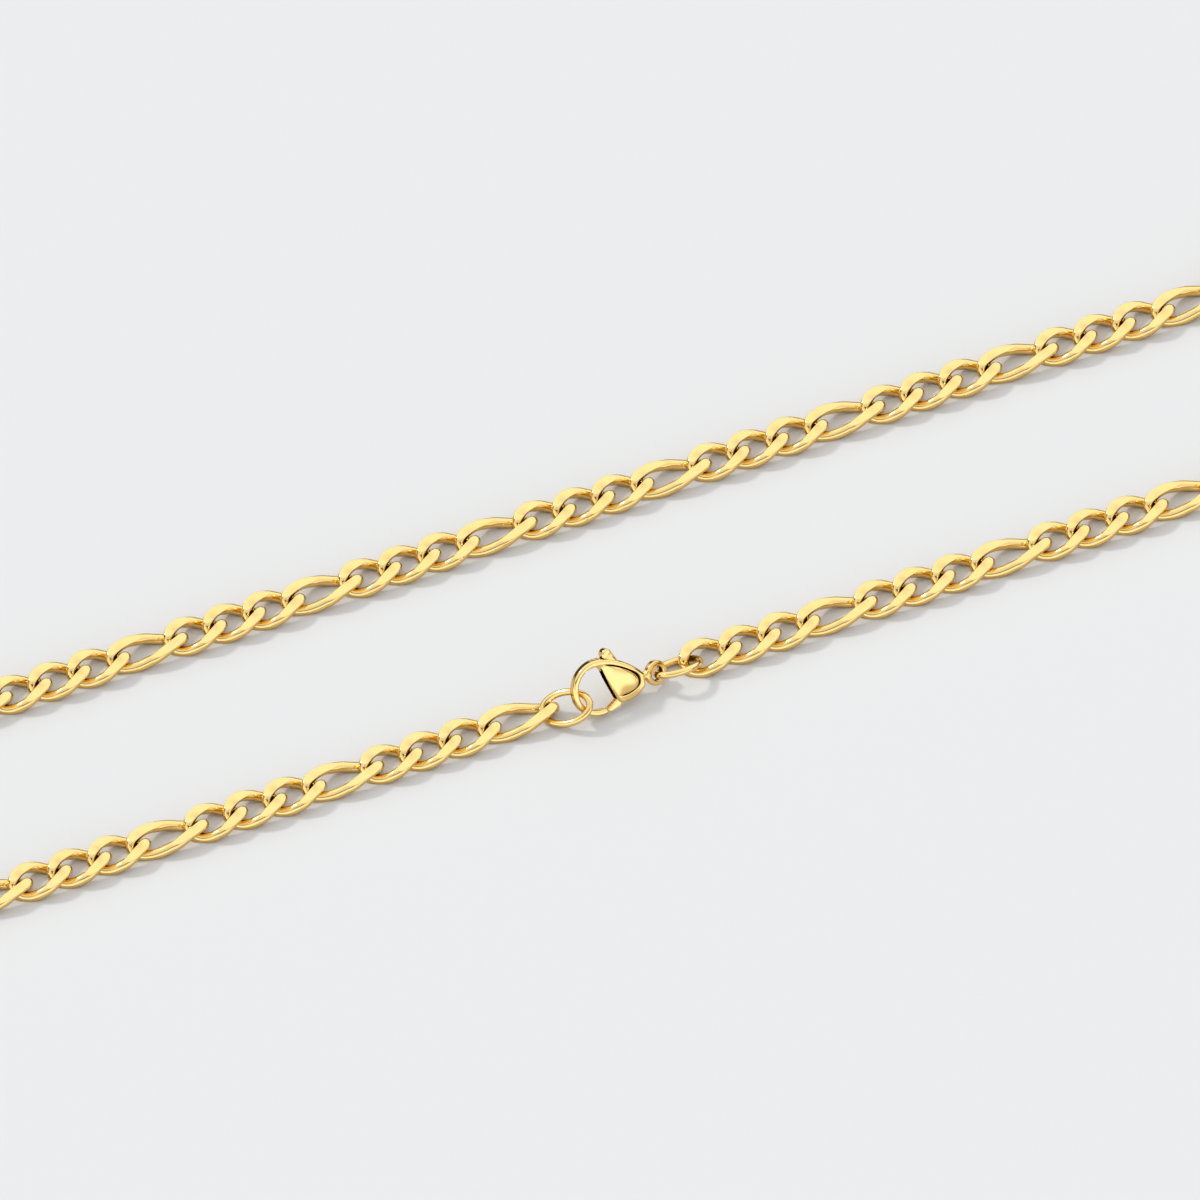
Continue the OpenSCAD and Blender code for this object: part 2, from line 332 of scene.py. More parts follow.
def route_points(step=0.2):
    """Points along the loop from the middle of the front strand, a short step apart."""
    turn = [(flare_len, -1 / FLARE_R), (turn_len, 1 / TURN_R), (flare_len, -1 / FLARE_R)]
    stretches = [(straight_len, 0), *turn, (2 * straight_len, 0), *turn, (straight_len, 0)]
    points, heading = [np.array([0, -STRAND_GAP / 2])], 0.0
    for length, curvature in stretches:
        count = int(np.ceil(length / step))
        s = np.arange(1, count + 1) * length / count
        if curvature:
            turned = heading + s * curvature
            moved = [np.sin(turned) - np.sin(heading), np.cos(heading) - np.cos(turned)]
            moved = np.stack(moved, 1) / curvature
        else:
            moved = np.stack([s * np.cos(heading), s * np.sin(heading)], 1)
        points.extend(points[-1] + moved)
        heading += length * curvature
    return np.array([[x, y, 0] for x, y in points])


route = route_points()
left_open = np.abs(route[0] - route[-1]).max()
print("loop, mm:", round(loop_len, 2), "closes within:", left_open.round(6))

# %% [markdown]
# ## Polished gold
# Plated gold has hardly any colour of its own: it is a mirror that tints what it reflects. Its
# detail is in small things. The polish varies a little from place to place, and fine scratches
# and a slight waviness bend the reflections. All of these are noise on Object coordinates, so
# the pattern stays with the metal in every view. Narrow places look nearly black, since the
# metal there mirrors only more metal in shade. A painted shade, a near-black colour mixed in
# where the mesh's own attribute asks for it, brings that out.

# %% Gold
# Each noise has a scale per metre and a detail
TONE, SMEAR, WAVE, SCRATCH = (260.0, 3.0), (900.0, 4.0), (420.0, 2.0), (2600.0, 2.0)
# Values of the smear's noise where the metal is smoothest and roughest
SMEAR_LOW, SMEAR_HIGH = 0.3, 0.7
# Scratches are noise that is drawn out along X, and the depths are in millimetres
SCRATCH_STRETCH = (1.0, 9.0, 3.0)
WAVE_DEEP, SCRATCH_DEEP = 0.05, 0.01


def feed(links, value, socket):
    """Gives a socket its value, which is another socket or a plain number or colour."""
    if isinstance(value, bpy.types.NodeSocket):
        links.new(value, socket)
    else:
        socket.default_value = value


def gold_material(name, colour, shade, polish, waviness, scratches):
    """Metal whose colour, roughness and relief vary a little, with painted shade from an attribute.
    """
    material = bpy.data.materials.new(name)
    material.use_nodes = True
    nodes, links = material.node_tree.nodes, material.node_tree.links
    shader = nodes["Principled BSDF"]
    shader.inputs["Metallic"].default_value = 1.0
    place = nodes.new("ShaderNodeTexCoord").outputs["Object"]

    def noise(vector, scale, detail):
        node = nodes.new("ShaderNodeTexNoise")
        node.inputs["Scale"].default_value = scale
        node.inputs["Detail"].default_value = detail
        links.new(vector, node.inputs["Vector"])
        return node.outputs["Fac"]

    def mix(share, a, b):
        node = nodes.new("ShaderNodeMix")
        node.data_type = "RGBA"
        for label, value in (("Factor", share), ("A", a), ("B", b)):
            feed(links, value, node.inputs[label])
        return node.outputs["Result"]

    def bump(height, strength, deep):
        node = nodes.new("ShaderNodeBump")
        node.inputs["Strength"].default_value = strength
        node.inputs["Distance"].default_value = deep * MM
        links.new(height, node.inputs["Height"])
        return node

    # Painted shade: where the mesh's attribute says, the colour is mixed towards near-black
    painted_shade = nodes.new("ShaderNodeAttribute")
    painted_shade.attribute_name = "painted_shade"
    tint = mix(noise(place, *TONE), (*colour, 1), (*shade, 1))
    links.new(mix(painted_shade.outputs["Fac"], tint, (*PAINTED_SHADE_COLOUR, 1)), shader.inputs["Base Color"])

    rough = nodes.new("ShaderNodeMapRange")
    rough.inputs["From Min"].default_value = SMEAR_LOW
    rough.inputs["From Max"].default_value = SMEAR_HIGH
    rough.inputs["To Min"].default_value = polish[0]
    rough.inputs["To Max"].default_value = polish[1]
    links.new(noise(place, *SMEAR), rough.inputs["Value"])
    links.new(rough.outputs["Result"], shader.inputs["Roughness"])

    stretch = nodes.new("ShaderNodeMapping")
    stretch.inputs["Scale"].default_value = SCRATCH_STRETCH
    links.new(place, stretch.inputs["Vector"])
    wave = bump(noise(place, *WAVE), waviness, WAVE_DEEP)
    scratch = bump(noise(stretch.outputs["Vector"], *SCRATCH), scratches, SCRATCH_DEEP)
    links.new(wave.outputs["Normal"], scratch.inputs["Normal"])
    links.new(scratch.outputs["Normal"], shader.inputs["Normal"])
    return material


GOLD = (0.95, 0.70, 0.28)
# Near-black colour of the painted shade in narrow places
PAINTED_SHADE_COLOUR = (0.02, 0.011, 0.003)
DEEP_GOLD = (0.92, 0.64, 0.22)
link_gold = gold_material("link_gold", GOLD, DEEP_GOLD, (0.07, 0.16), 0.12, 0.10)
clasp_gold = gold_material("clasp_gold", GOLD, DEEP_GOLD, (0.04, 0.11), 0.06, 0.06)
print("materials:", link_gold.name, clasp_gold.name)

# %% [markdown]
# ## Links along the way, with Geometry Nodes
# A row of links is a rule: take a place along a curve, put a link there, turn it with the
# curve. That is what Geometry Nodes are for. The tree makes one point for each link, works out
# its distance along the route from its number, samples the curve there, and puts a short or a
# long link on it. Every fourth link is a long one.

# %% Small helpers for node trees
class Tree:
    """A geometry node tree under construction."""

    def __init__(self, name, inputs):
        self.tree = bpy.data.node_groups.new(name, "GeometryNodeTree")
        sockets = self.tree.interface
        sockets.new_socket("Geometry", in_out="OUTPUT", socket_type="NodeSocketGeometry")
        sockets.new_socket("Geometry", in_out="INPUT", socket_type="NodeSocketGeometry")
        self.ids = {}
        for label, kind in inputs.items():
            socket = sockets.new_socket(label, in_out="INPUT", socket_type="NodeSocket" + kind)
            self.ids[label] = socket.identifier
        self.start = self.tree.nodes.new("NodeGroupInput")
        self.end = self.tree.nodes.new("NodeGroupOutput")

    def given(self, label):
        return self.start.outputs[label]

    def node(self, kind, settings=None, **inputs):
        """A node with its settings and inputs, which are named, or numbered as in i0."""
        node = self.tree.nodes.new(kind)
        for key, value in (settings or {}).items():
            setattr(node, key, value)
        for key, value in inputs.items():
            number = key[1:]
            socket = node.inputs[int(number) if number.isdigit() else key.replace("_", " ")]
            feed(self.tree.links, value, socket)
        return node

    def math(self, operation, a, b=0.0):
        return self.node("ShaderNodeMath", {"operation": operation}, i0=a, i1=b).outputs[0]

    def finish(self, geometry):
        self.tree.links.new(geometry, self.end.inputs["Geometry"])
        return self.tree


def run_tree(build, name, host_mesh, values):
    """Hosts the tree on a mesh, sets its inputs by identifier and returns the plain mesh."""
    host = new_piece(name + "_host", host_mesh)
    modifier = host.modifiers.new(name, "NODES")
    modifier.node_group = build.tree
    for label, value in values.items():
        modifier[build.ids[label]] = value
    host.update_tag()
    bpy.context.view_layer.update()
    evaluated = host.evaluated_get(bpy.context.evaluated_depsgraph_get())
    mesh = bpy.data.meshes.new_from_object(evaluated)
    bpy.data.objects.remove(host)
    mesh.name = name
    return mesh


print("helpers ready")

# %% Chain tree
LINKS_IN_REPEAT = 4.0
# Places 0 to 2 in a repeat are short links, and place 3 is the long one
LAST_SHORT = 2.5

chain = Tree("links_along_route", {
    "First link": "Int", "Links": "Int", "First place": "Float", "Short step": "Float",
    "Long step": "Float", "Repeat": "Float", "Rise": "Float", "Short link": "Object",
    "Long link": "Object", "Metal": "Material",
})
curve = chain.node("GeometryNodeMeshToCurve", Mesh=chain.given("Geometry")).outputs["Curve"]
points = chain.node("GeometryNodePoints", Count=chain.given("Links")).outputs[0]
index = chain.node("GeometryNodeInputIndex").outputs[0]
number = chain.math("ADD", index, chain.given("First link"))
whole = chain.math("FLOOR", chain.math("DIVIDE", number, LINKS_IN_REPEAT))
in_repeat = chain.math("SUBTRACT", number, chain.math("MULTIPLY", whole, LINKS_IN_REPEAT))
is_long = chain.math("GREATER_THAN", in_repeat, LAST_SHORT)
along = chain.math("MULTIPLY", whole, chain.given("Repeat"))
along = chain.math("ADD", chain.given("First place"), along)
along = chain.math("ADD", along, chain.math("MULTIPLY", in_repeat, chain.given("Short step")))
extra = chain.math("SUBTRACT", chain.given("Long step"), chain.given("Short step"))
along = chain.math("ADD", along, chain.math("MULTIPLY", is_long, extra))
sample = chain.node("GeometryNodeSampleCurve", {"mode": "LENGTH"}, Curves=curve, Length=along)
lift = chain.node("ShaderNodeCombineXYZ", Z=chain.given("Rise")).outputs[0]
placed = chain.node(
    "GeometryNodeSetPosition", Geometry=points, Position=sample.outputs["Position"], Offset=lift
).outputs[0]
heading = chain.node(
    "FunctionNodeAlignRotationToVector", {"axis": "X", "pivot_axis": "Z"},
    Vector=sample.outputs["Tangent"],
).outputs[0]
rows = []
for label, pick in (("Short link", chain.math("LESS_THAN", is_long, 0.5)), ("Long link", is_long)):
    shape = chain.node("GeometryNodeObjectInfo", Object=chain.given(label)).outputs["Geometry"]
    rows.append(chain.node(
        "GeometryNodeInstanceOnPoints", Points=placed, Selection=pick, Instance=shape,
        Rotation=heading,
    ).outputs[0])
both = chain.node("GeometryNodeJoinGeometry")
for row in rows:
    chain.tree.links.new(row, both.inputs[0])
real = chain.node("GeometryNodeRealizeInstances", Geometry=both.outputs[0]).outputs[0]
metal = chain.node("GeometryNodeSetMaterial", Geometry=real, Material=chain.given("Metal"))
chain.finish(metal.outputs[0])
print("nodes in the chain's tree:", len(chain.tree.nodes))

# %% The two halves of the chain
HALF = 2 * REPEATS


def route_mesh():
    """The route as a row of edges."""
    mesh = bpy.data.meshes.new("route")
    steps = np.arange(len(route) - 1)
    mesh.from_pydata((route * MM).tolist(), np.stack([steps, steps + 1], 1).tolist(), [])
    return mesh


for name, node, first in (
    ("links_from_eye", "chain_eye_side", 0), ("links_to_hook", "chain_hook_side", HALF)
):
    mesh = run_tree(chain, name, route_mesh(), {
        "First link": first, "Links": HALF, "First place": FIRST_LINK * MM,
        "Short step": pitch_short * MM, "Long step": pitch_long * MM, "Repeat": repeat_len * MM,
        "Rise": CHAIN_T / 2 * MM, "Short link": link_pieces["short_link"],
        "Long link": link_pieces["long_link"], "Metal": link_gold,
    })
    half = new_piece(name, mesh)
    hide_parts(node)
    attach(half, "necklace")
    print(name, "faces:", len(mesh.polygons))
for piece in link_pieces.values():
    bpy.data.objects.remove(piece)

# %% [markdown]
# ## The clasp as a field of distances
# A lobster clasp is cast: a hook, a body with a raised pad, a slot and an eye flow into each
# other with small round fillets. Boxes and tubes joined by booleans would meet at hard seams,
# and each fillet would be work of its own. A distance field is easier to reason about: every
# form is a formula that is negative inside the metal, a soft minimum joins two forms with a
# fillet, and a soft maximum cuts one with another. The skin of the metal is where the formula
# is zero. All of it is in the clasp's own frame: the origin is in the middle of the hook, X
# points to the eye and Z goes through the thickness.

# %% Soft joins and plane figures
def soft_min(a, b, round_off):
    """The smaller of two fields, with a fillet where they meet."""
    near = np.maximum(round_off - np.abs(a - b), 0) / round_off
    return np.minimum(a, b) - near * near * round_off / 4


def soft_max(a, b, round_off):
    """The larger of two fields, with a rounded edge where they meet."""
    return -soft_min(-a, -b, round_off)


def polygon_field(x, y, corners):
    """Distance to a polygon in the plane, negative inside it."""
    nearest, inside = np.inf, False
    for (x0, y0), (x1, y1) in zip(corners, np.roll(corners, -1, axis=0)):
        ex, ey, wx, wy = x1 - x0, y1 - y0, x - x0, y - y0
        t = np.clip((wx * ex + wy * ey) / (ex * ex + ey * ey), 0, 1)
        nearest = np.minimum(nearest, (wx - t * ex) ** 2 + (wy - t * ey) ** 2)
        crossed = ((y0 <= y) != (y1 <= y)) & ((ex * wy - ey * wx > 0) == (ey > 0))
        inside = inside ^ crossed
    return np.where(inside, -1, 1) * np.sqrt(nearest)


def disc_field(x, y, centre, radius):
    """Distance to a disc in the plane, negative inside it."""
    return np.hypot(x - centre[0], y - centre[1]) - radius


def bar_section(across, through, half_across, half_through, corner):
    """A bar with round corners, seen end on."""
    a = np.abs(across) - half_across + corner
    b = np.abs(through) - half_through + corner
    return np.hypot(np.maximum(a, 0), np.maximum(b, 0)) + np.minimum(np.maximum(a, b), 0) - corner


print("field in a corner with a fillet of 0.4:", round(float(soft_min(0.0, 0.0, 0.4)), 3))

# %% [markdown]
# ## From the field to a mesh
# The field is measured on a fine grid. Each cell that holds part of the skin gets one point,
# and cells that share a crossed edge are joined by a face; this is called surface nets. The
# points are then pulled onto the skin along the field's slope and spread evenly, which leaves
# a clean mesh of quads without any step from the grid.

# %% Skin of a field
# The square of the slope is taken as at least this, so that no step grows too long
LEAST_SLOPE = 0.05
# Rounds of pulling alone, rounds of spreading, and the part of the way that spreading goes
FIRST_PULLS, SPREADS, SPREAD_SHARE = 4, 3, 0.5


def pull(points, field, reach):
    """Moves the points onto the zero level, along the slope of the field."""
    step = 1e-3
    value = field(*points.T)
    slope = np.stack([
        (field(*(points + step * axis).T) - field(*(points - step * axis).T)) / (2 * step)
        for axis in np.eye(3)
    ], 1)
    move = -slope * (value / np.maximum((slope**2).sum(1), LEAST_SLOPE))[:, None]
    size = np.linalg.norm(move, axis=1, keepdims=True)
    return points + move * np.minimum(1, reach / np.maximum(size, 1e-9))


def spread(points, quads):
    """Each point's step to the middle of the points that it is joined to."""
    ends = np.concatenate([quads[:, [i, (i + 1) % 4]] for i in range(4)])
    ends = np.concatenate([ends, ends[:, ::-1]])
    count = np.bincount(ends[:, 0], minlength=len(points))
    total = [np.bincount(ends[:, 0], points[ends[:, 1], i], len(points)) for i in range(3)]
    return np.stack(total, 1) / count[:, None] - points


def net(inside):
    """The marked cells of a grid and the quads between them, with their fronts outwards."""
    cells = sum(
        inside[i : i - 1 or None, j : j - 1 or None, k : k - 1 or None].astype(int)
        for i in (0, 1) for j in (0, 1) for k in (0, 1)
    )
    marked = (cells > 0) & (cells < 8)
    number = np.full(marked.shape, -1)
    number[marked] = np.arange(marked.sum())
    quads = []
    for axis in range(3):
        full, n = np.moveaxis(inside, axis, 0), np.moveaxis(number, axis, 0)
        change = full[:-1, 1:-1, 1:-1].astype(int) - full[1:, 1:-1, 1:-1]
        i, j, k = np.nonzero(change)
        turn = change[i, j, k] * (-1 if axis == 1 else 1) < 0
        ring = np.stack([n[i, j, k], n[i, j + 1, k], n[i, j + 1, k + 1], n[i, j, k + 1]], 1)
        ring[turn] = ring[turn, ::-1]
        quads.append(ring)
    return np.argwhere(marked), np.concatenate(quads)


def skin(field, low, high, step):
    """Points and quads of the zero level of a field inside a box."""
    axes = [np.arange(a - 2 * step, b + 3 * step, step) for a, b in zip(low, high)]
    value = field(axes[0][:, None, None], axes[1][None, :, None], axes[2][None, None, :])
    cells, quads = net(value < 0)
    points = np.array([a[0] for a in axes]) + (cells + 0.5) * step
    for _ in range(FIRST_PULLS):
        points = pull(points, field, step)
    for _ in range(SPREADS):
        points = pull(points + SPREAD_SHARE * spread(points, quads), field, step)
    return pull(points, field, step), quads


def ball_field(x, y, z):
    return np.sqrt(x * x + y * y + z * z) - 1


ball, ball_quads = skin(ball_field, [-1] * 3, [1] * 3, 0.2)
reached = np.linalg.norm(ball, axis=1)
print("a ball of radius 1 as a trial:", reached.min().round(4), "faces:", len(ball_quads))

# %% [markdown]
# ## The clasp's body
# Seen from the front, the body is a drop between two arcs, cut off at the slot. A low rim runs
# round it and continues the hook's wire. Inside the rim a domed pad stands up: its wall is
# steep along the back, round the eye's end and along the belly, and on the side of the slot it
# leaves a low band, from which it rises slowly. The steep wall, a fine groove at its foot and
# a painted shade in the metal's colour draw the dark line round the pad.

# %% Sizes of the clasp
HOOK_R, HOOK_W, HOOK_T, HOOK_ROUND = 2.9, 0.72, 1.1, 0.3
# From the middle of the hook to the middle of the eye
CLASP_L = 7.46
# The pad's top is part of a ball: the thickness there, the ball's radius and its middle
BODY_T, DOME_R, DOME_AT = 2.8, 7.0, (3.2, 0.1)
SLOT_W, LEVER_GAP = 1.0, 0.08
TAB_T, TAB_R, GATE_GAP = 1.1, 0.64, 0.1
PIN_D, PIN_L, PIN_GAP = 0.6, 1.6, 0.05
EYE_D, EYE_HOLE, EYE_T = 2.86, 1.62, 0.76
EYE_TURN = np.radians(12)
NECK_R = 0.44
# Radii of the two arcs of the body, seen from the front
BACK_R, BELLY_R = 9.1, 4.1
# The rim lies this far below the ball, and half its thickness is at least this
RIM_DROP, RIM_LEAST = 0.5, 0.7
# How far the pad's foot lies inside the two arcs, and the width of its wall
PAD_FROM_BACK, PAD_FROM_BELLY, PAD_WALL = 0.6, 0.92, 0.34
# The groove at the pad's foot, and the painted dark line of shade along it
GROOVE_DEEP, GROOVE_WIDE, LINE_WIDE = 0.14, 0.06, 0.08
# The low band beside the slot, the pad's rise past it, and the body's sinking at the hook
BAND_WIDE, PAD_RISE, ROOT_SINK = 0.4, 2.2, 0.14
# Spacing of the grid that finds the skin
GRID = 0.045


def unit(degrees):
    """A step of 1 in the plane, by its direction."""
    angle = np.radians(degrees)
    return np.array([np.cos(angle), np.sin(angle)])


def at(extra, degrees):
    """A point by its distance outside the middle of the hook's wire and its direction."""
    return (HOOK_R + extra) * unit(degrees)


def arc(centre, radius, start, end, count=24):
    """Points along an arc, by its first and last directions."""
    angle = np.radians(np.linspace(start, end, count))[:, None]
    return centre + radius * np.concatenate([np.cos(angle), np.sin(angle)], 1)


slot_top, slot_bottom = at(-0.75, 79.8), at(-0.05, -40.7)
corner, pivot, tip, slant = at(0.58, -41.8), at(0.45, -17.4), at(0, -74), unit(42)
back_centre = at(HOOK_W / 2 - BACK_R, 82)
belly_centre = corner + BELLY_R * unit(87)
outline = np.concatenate([
    arc(0, HOOK_R - HOOK_W / 2, 103, 94, 6),
    [slot_top, slot_bottom],
    arc(belly_centre, BELLY_R, -93, -42),
    arc(back_centre, BACK_R, 43.6, 82),
])
slot_room = np.array([
    at(-0.84, 82), at(-0.55, 69), at(0.8, 76.9), at(2.26, 35.5), at(1.42, 16), at(1.15, 0),
    at(1.32, -16.5), at(1.07, -26.6), at(0.58, -32), at(0.99, -41.9), at(0.37, -66.6),
    at(-0.88, -33),
])
print("body outline, mm:", outline.min(0).round(2), outline.max(0).round(2))

# %% Lines across the body
PAD_ROUND = 1.3


def grow(value, start, run):
    """A smooth step from 0 at the start to 1 after the run."""
    return ease((value - start) / run)


def left_of(x, y, degrees):
    """How far a place lies to the left of a line from the hook's middle in this direction."""
    line = unit(degrees)
    return y * line[0] - x * line[1]


def past_tip(x, y):
    """How far a place lies past the slanted face at the hook's tip."""
    return (x - tip[0]) * slant[0] + (y - tip[1]) * slant[1]


def beside_tip(x, y):
    """How far a place lies along the slanted face at the hook's tip."""
    return (y - tip[1]) * slant[0] - (x - tip[0]) * slant[1]


def past_slot(x, y):
    """How far a place lies from the slot's mouth towards the eye."""
    along = (slot_bottom - slot_top) / np.linalg.norm(slot_bottom - slot_top)
    return (y - slot_bottom[1]) * along[0] - (x - slot_bottom[0]) * along[1]


def pad_edge(x, y):
    """How far a place lies outside the pad's foot along the back and the belly."""
    return soft_max(
        disc_field(x, y, back_centre, BACK_R - PAD_FROM_BACK),
        disc_field(x, y, belly_centre, BELLY_R - PAD_FROM_BELLY),
        PAD_ROUND,
    )


print("slot's upper end to its lower end, mm:", np.linalg.norm(slot_bottom - slot_top).round(2))

# %% Field of the body
RIM_ROUND = 0.3
# The groove starts past the slot, and gets wider along X towards the eye
GROOVE_FROM, GROOVE_RUN = 0.3, 0.6
GROOVE_WIDENS, GROOVE_WIDEN_RUN = 3.6, 1.8
# Along X the body sinks towards the hook, and the hook gets thicker towards the body
ROOT_FROM, ROOT_RUN = 1.5, -1.1
SWELLING, SWELL_FROM, SWELL_RUN, SWELL_RISE = 0.08, -2.4, 2.6, 1.5
# Directions in degrees: where the hook starts and ends, and where the slot's room ends
HOOK_ROOT, HOOK_END, ROOM_END = 60, 300, 74
ROOT_SOFT, TIP_ROUND = 0.6, 0.08
NECK_FROM, NECK_TO = 5.3, 6.3
BODY_ROUND, JOIN_ROUND, SLOT_ROUND, EYE_FILLET, EYE_ROUND = 0.34, 0.25, 0.06, 0.3, 0.16


def pad_height(x, y):
    """Half the body's thickness, with the rim and the raised pad."""
    under = DOME_R**2 - (x - DOME_AT[0]) ** 2 - (y - DOME_AT[1]) ** 2
    dome = np.sqrt(np.maximum(0, under)) + BODY_T / 2 - DOME_R
    rim = soft_max(dome - RIM_DROP, RIM_LEAST + 0 * dome, RIM_ROUND)
    edge, from_slot = pad_edge(x, y), past_slot(x, y)
    lift = grow(edge, 0, -PAD_WALL) * grow(from_slot, BAND_WIDE, PAD_RISE)
    wide = GROOVE_WIDE * (1 + grow(x, GROOVE_WIDENS, GROOVE_WIDEN_RUN))
    groove = GROOVE_DEEP * np.exp(-((edge / wide) ** 2))
    root = ROOT_SINK * grow(x, ROOT_FROM, ROOT_RUN)
    pad = rim + (np.maximum(dome, rim) - rim) * lift
    return pad - groove * grow(from_slot, GROOVE_FROM, GROOVE_RUN) - root


def hook_field(x, y, z):
    """The hook's bar, cut off inside the body and by the slanted face at its tip."""
    swelling = SWELLING * grow(x, SWELL_FROM, SWELL_RUN) * grow(y, 0, SWELL_RISE)
    wire = bar_section(np.hypot(x, y) - HOOK_R, z, HOOK_W / 2, HOOK_T / 2 + swelling, HOOK_ROUND)
    reach = np.minimum(-left_of(x, y, HOOK_ROOT), left_of(x, y, HOOK_END))
    beyond = np.maximum(-past_tip(x, y), np.abs(beside_tip(x, y)) - HOOK_R)
    return soft_max(soft_max(wire, reach, ROOT_SOFT), -beyond, TIP_ROUND)


def eye_field(x, y, z):
    """The eye's round bar, turned a little about the clasp's width."""
    x = x - CLASP_L
    c, s = np.cos(EYE_TURN), np.sin(EYE_TURN)
    x, z = x * c - z * s, x * s + z * c
    across = np.hypot(x, y) - (EYE_D + EYE_HOLE) / 4
    return bar_section(across, z, (EYE_D - EYE_HOLE) / 4, EYE_T / 2, EYE_ROUND)


def body_field(x, y, z):
    """The body with its neck and hook, less the slot, and with the eye."""
    plan = polygon_field(x, y, outline)
    solid = soft_max(np.abs(z) - pad_height(x, y), plan, BODY_ROUND)
    neck_x = np.clip(x, NECK_FROM, NECK_TO)
    neck = np.sqrt((x - neck_x) ** 2 + y**2 + z**2) - NECK_R
    solid = soft_min(solid, neck, JOIN_ROUND)
    solid = soft_min(solid, hook_field(x, y, z), JOIN_ROUND)
    room = np.maximum(polygon_field(x, y, slot_room), np.abs(z) - SLOT_W / 2)
    room = np.maximum(room, left_of(x, y, ROOM_END))
    solid = soft_max(solid, -room, SLOT_ROUND)
    return soft_min(solid, eye_field(x, y, z), EYE_FILLET)


print("middle of the pad, half thickness:", round(float(pad_height(3.2, 0.2)), 3))

# %% Painted shade of the body
# The painted shade's dark line: its middle beside the pad's foot, and where it has faded,
# as a share of its width
LINE_AT, LINE_EDGE = -0.03, 1.6
# Where along X it gets wider and by what share, and where past the slot it starts
LINE_WIDENS, LINE_WIDEN_RUN, LINE_GROWS = 3.8, 1.6, 1.3
LINE_FROM, LINE_RUN = 0.4, 0.6
# The eye's hole gets this much painted shade, and each shaded place reaches a little past its
# hollow
HOLE_SHADE, HOLE_PAST = 0.85, 0.05
SLOT_PAST, SLOT_PAST_SIDE, MOUTH_RUN = 0.08, 0.03, 0.08


def body_painted_shade(x, y, z):
    """Painted shade: the line round the pad's foot, the depth of the slot and the eye's hole are
    darkened.
    """
    # Painted shade: a dark line at the pad's foot, the slot's depth and the eye's hole
    wide = LINE_WIDE * (1 + LINE_GROWS * grow(x, LINE_WIDENS, LINE_WIDEN_RUN))
    line = ease(LINE_EDGE - np.abs(pad_edge(x, y) - LINE_AT) / wide)
    line = line * grow(past_slot(x, y), LINE_FROM, LINE_RUN) * (np.abs(z) > SLOT_W / 2)
    between = np.abs(z) < SLOT_W / 2 + SLOT_PAST_SIDE
    inner = between * (polygon_field(x, y, slot_room) < SLOT_PAST)
    hole = np.hypot(x - CLASP_L, y) < EYE_HOLE / 2 + HOLE_PAST
    inner = inner * grow(past_slot(x, y), 0, MOUTH_RUN)
    return np.maximum(np.maximum(line, HOLE_SHADE * hole), inner)


print("recess in the eye's hole:", float(body_painted_shade(CLASP_L, 0.0, 0.0)))

# %% [markdown]
# ## The lever
# The lever is one plate. It runs from the thumb tab through the slot to the pivot and on into
# the gate, which closes the hook. Its edges are rounded, and the tab is a thicker knob that
# flows into the plate.

# %% Field of the lever
lever_outline = np.array([
    at(0.72, 73), at(0.17, 71), at(-0.35, 51), at(-0.7, 17), at(-0.32, -20), at(0, -33.3),
    at(-0.17, -50.7), at(-0.09, -69.2), at(-0.11, -75.5), at(0.28, -77.3), at(0.47, -64.7),
    at(0.75, -46.8), at(0.74, -41.7), at(0.44, -31.6), at(0.82, -11), at(0.45, 13.8),
    at(0.54, 35.5), at(0.85, 47.2), at(0.95, 60),
])
TAB_FROM, TAB_TO = np.array([1.42, 3.6]), np.array([2.55, 2.42])
# The tab's half width and half thickness get smaller by this much towards the eye
TAB_NARROWS, TAB_THINS, TAB_ROUND, TAB_FILLET = 0.28, 0.25, 0.24, 0.2
BOSS_R, BOSS_FILLET, PLATE_ROUND, GATE_ROUND, HOLE_ROUND = 0.7, 0.1, 0.16, 0.08, 0.05
# The lever's painted shade starts this far inside the body's outline
DEEP_FROM, DEEP_RUN = -1.0, -0.2
PIN_ROUND = 0.06


def lever_field(x, y, z):
    """The lever's plate with its boss and pin hole, cut off at the hook's tip, and the tab."""
    boss = disc_field(x, y, pivot, BOSS_R)
    plan = soft_min(polygon_field(x, y, lever_outline), boss, BOSS_FILLET)
    plate = soft_max(plan, np.abs(z) - (SLOT_W / 2 - LEVER_GAP), PLATE_ROUND)
    plate = soft_max(plate, GATE_GAP - past_tip(x, y), GATE_ROUND)
    plate = soft_max(plate, -disc_field(x, y, pivot, PIN_D / 2 + PIN_GAP), HOLE_ROUND)
    run = TAB_TO - TAB_FROM
    from_x, from_y = x - TAB_FROM[0], y - TAB_FROM[1]
    along = np.clip((from_x * run[0] + from_y * run[1]) / run.dot(run), 0, 1)
    off = np.hypot(from_x - along * run[0], from_y - along * run[1])
    half_across, half_through = TAB_R - TAB_NARROWS * along, TAB_T / 2 - TAB_THINS * along
    return soft_min(plate, bar_section(off, z, half_across, half_through, TAB_ROUND), TAB_FILLET)


def lever_painted_shade(x, y, z):
    """What stands deep inside the slot at every turn of the lever gets painted shade."""
    return grow(polygon_field(x, y, outline), DEEP_FROM, DEEP_RUN)


def pin_field(x, y, z):
    """The pin, which ends inside the body's two walls."""
    return bar_section(disc_field(x, y, pivot, 0), z, PIN_D / 2, PIN_L / 2, PIN_ROUND)


print("lever from, mm:", lever_outline.min(0).round(2), "to:", lever_outline.max(0).round(2))

# %% Clasp pieces
CLASP_AT = np.array([-5.0749, -14.27, 3.22])
CLASP_TURN = np.array(Euler(np.radians([59, 10.5, 3.7])).to_matrix())


